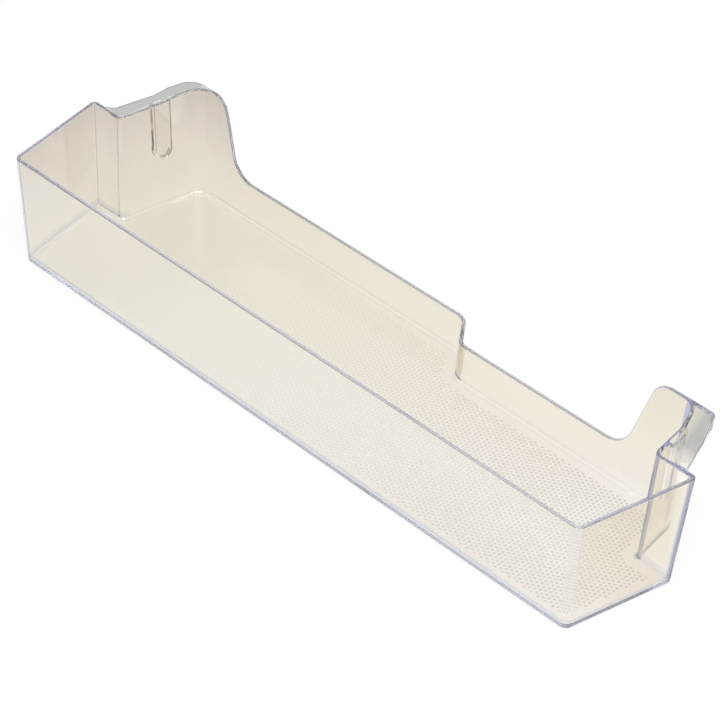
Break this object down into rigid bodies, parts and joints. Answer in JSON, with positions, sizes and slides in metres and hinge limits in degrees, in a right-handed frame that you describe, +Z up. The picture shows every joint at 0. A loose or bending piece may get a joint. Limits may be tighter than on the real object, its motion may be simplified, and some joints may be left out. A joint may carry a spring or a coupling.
{
  "type": "fridge door shelf",
  "caption": "Clear moulded door shelf for a refrigerator: a long drafted tray with a high front, a low jogged back wall and stepped-in hook ends that drop over ribs in the door.",
  "frame": {"origin": "under the middle of the shelf, on the plane that its underside stands on", "axes": "+X along the shelf, to the right as seen from its tall front wall; +Y from the front wall to the door; +Z up"},
  "size_m": [0.4832, 0.1374, 0.0834],
  "materials": {
    "clear_plastic": "clear, polished"
  },
  "bodies": {
    "root": {"door_shelf": "clear_plastic"}
  },
  "joints": []
}
